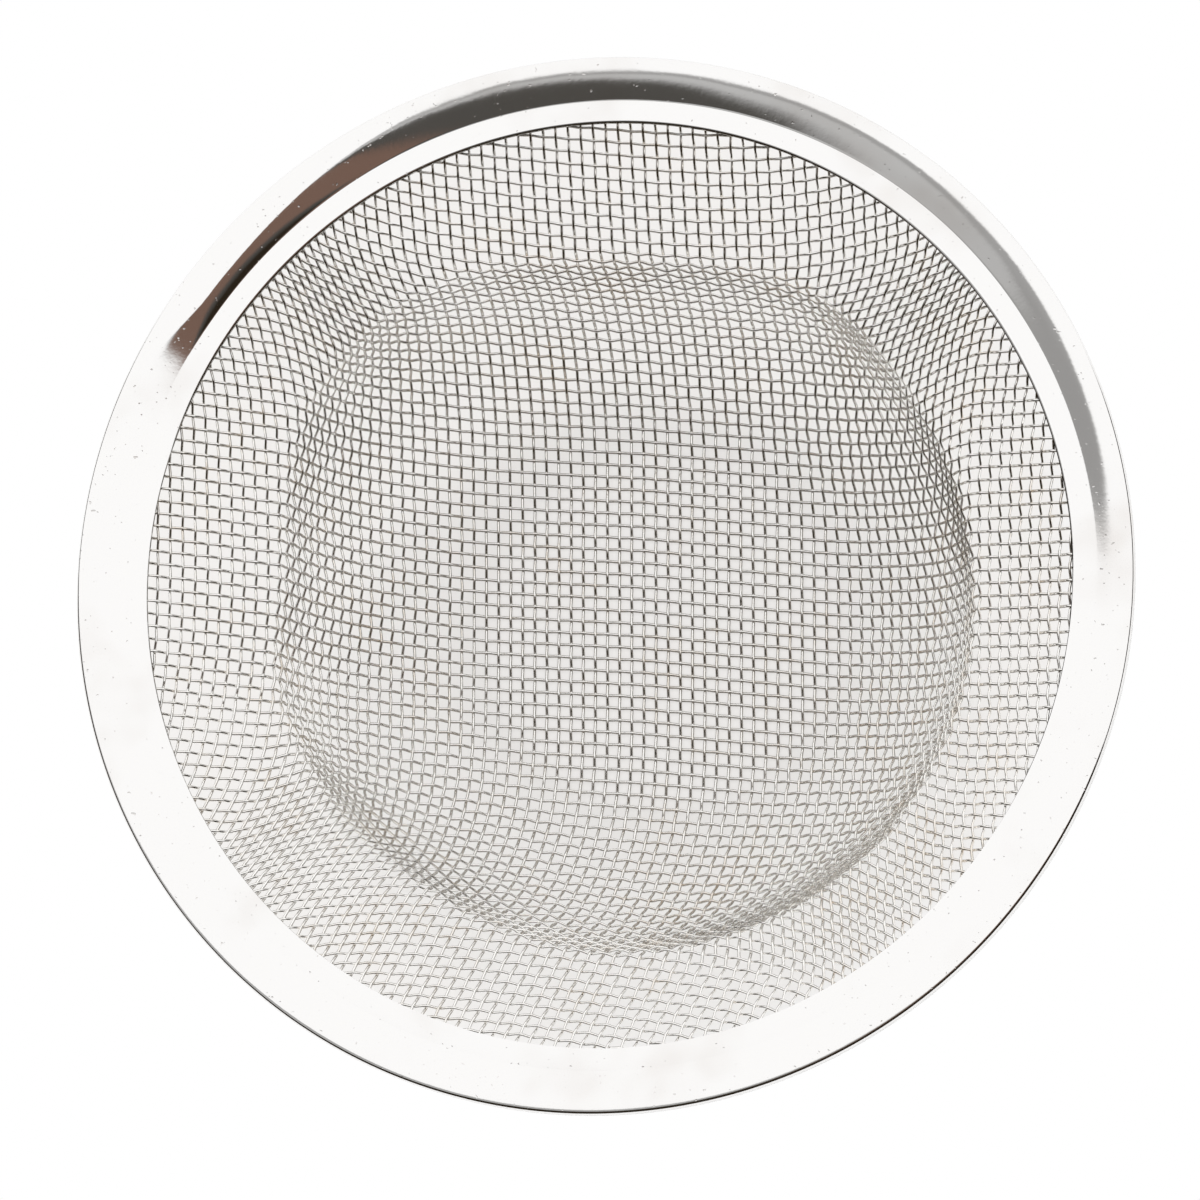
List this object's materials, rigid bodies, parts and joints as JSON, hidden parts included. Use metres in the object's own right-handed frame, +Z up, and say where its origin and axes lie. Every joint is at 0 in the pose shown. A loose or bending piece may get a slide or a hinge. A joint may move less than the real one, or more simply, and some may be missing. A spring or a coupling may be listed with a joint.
{
  "type": "sink strainer",
  "caption": "Round sink drain strainer: a bowl of woven steel wire cloth with a wide shoulder, held in a flat folded steel rim.",
  "frame": {"origin": "on the ground under the middle of the bowl's flat bottom, at the centre of the bounding box's base", "axes": "+Z up along the axis of the bowl, out of its mouth; the warp wires run along Y and the weft wires along X"},
  "size_m": [0.1142, 0.1142, 0.0312],
  "materials": {
    "rim_steel": "bright rolled stainless steel, lightly scuffed",
    "wire_steel": "bright drawn stainless steel wire"
  },
  "bodies": {
    "root": {"rim": "rim_steel", "warp_wire_middle": "wire_steel", "warp_wires_01": "wire_steel", "warp_wires_02": "wire_steel", "warp_wires_03": "wire_steel", "warp_wires_04": "wire_steel", "warp_wires_05": "wire_steel", "warp_wires_06": "wire_steel", "warp_wires_07": "wire_steel", "warp_wires_08": "wire_steel", "warp_wires_09": "wire_steel", "warp_wires_10": "wire_steel", "warp_wires_11": "wire_steel", "warp_wires_12": "wire_steel", "warp_wires_13": "wire_steel", "warp_wires_14": "wire_steel", "warp_wires_15": "wire_steel", "warp_wires_16": "wire_steel", "warp_wires_17": "wire_steel", "warp_wires_18": "wire_steel", "warp_wires_19": "wire_steel", "warp_wires_20": "wire_steel", "warp_wires_21": "wire_steel", "warp_wires_22": "wire_steel", "warp_wires_23": "wire_steel", "warp_wires_24": "wire_steel", "weft_wire_middle": "wire_steel", "weft_wires_01": "wire_steel", "weft_wires_02": "wire_steel", "weft_wires_03": "wire_steel", "weft_wires_04": "wire_steel", "weft_wires_05": "wire_steel", "weft_wires_06": "wire_steel", "weft_wires_07": "wire_steel", "weft_wires_08": "wire_steel", "weft_wires_09": "wire_steel", "weft_wires_10": "wire_steel", "weft_wires_11": "wire_steel", "weft_wires_12": "wire_steel", "weft_wires_13": "wire_steel", "weft_wires_14": "wire_steel", "weft_wires_15": "wire_steel", "weft_wires_16": "wire_steel", "weft_wires_17": "wire_steel", "weft_wires_18": "wire_steel", "weft_wires_19": "wire_steel", "weft_wires_20": "wire_steel", "weft_wires_21": "wire_steel", "weft_wires_22": "wire_steel", "weft_wires_23": "wire_steel", "weft_wires_24": "wire_steel"}
  },
  "joints": []
}
